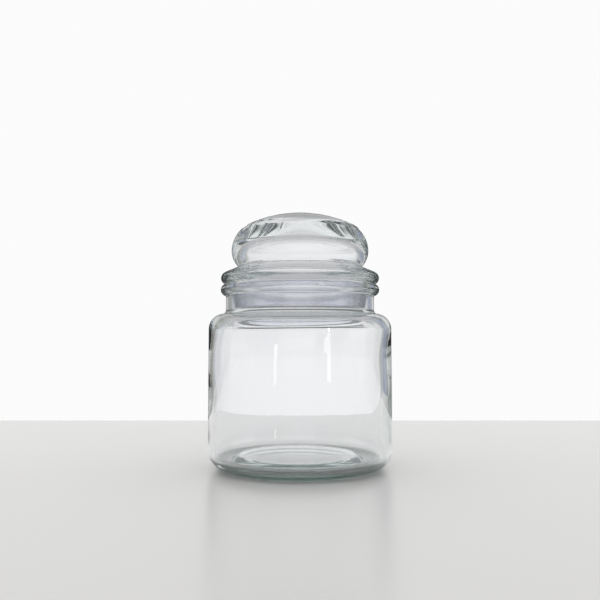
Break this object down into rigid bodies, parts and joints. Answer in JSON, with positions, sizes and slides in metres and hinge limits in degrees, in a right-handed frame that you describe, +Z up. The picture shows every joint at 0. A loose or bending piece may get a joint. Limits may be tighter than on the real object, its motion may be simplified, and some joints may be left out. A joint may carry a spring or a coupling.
{
  "type": "specimen jar",
  "caption": "Clear glass specimen jar with a straight round body, a beaded rim and a hollow bulb lid whose plug carries a clear flexible seal.",
  "frame": {"origin": "centre of the circle on which the jar stands", "axes": "+Z up along the jar's axis; the object is round about it, so +X and +Y are free"},
  "size_m": [0.1016, 0.1016, 0.1417],
  "materials": {
    "glass": "clear moulded soda-lime glass with a faint green edge, fire-polished all over",
    "clear_vinyl": "soft clear vinyl with a faint blue cast and a satin surface"
  },
  "bodies": {
    "jar": {"jar": "glass"},
    "seal": {"seal_ring": "clear_vinyl"},
    "lid": {"lid": "glass"}
  },
  "joints": [
    {"name": "lid_lift", "type": "slide", "parent": "jar", "child": "seal", "axis": [0, 0, 1], "range_m": [0, 0.12]},
    {"name": "lid_turn", "type": "hinge", "parent": "seal", "child": "lid", "pos_m": [0, 0, 0.1], "axis": [0, 0, 1], "continuous": true}
  ]
}
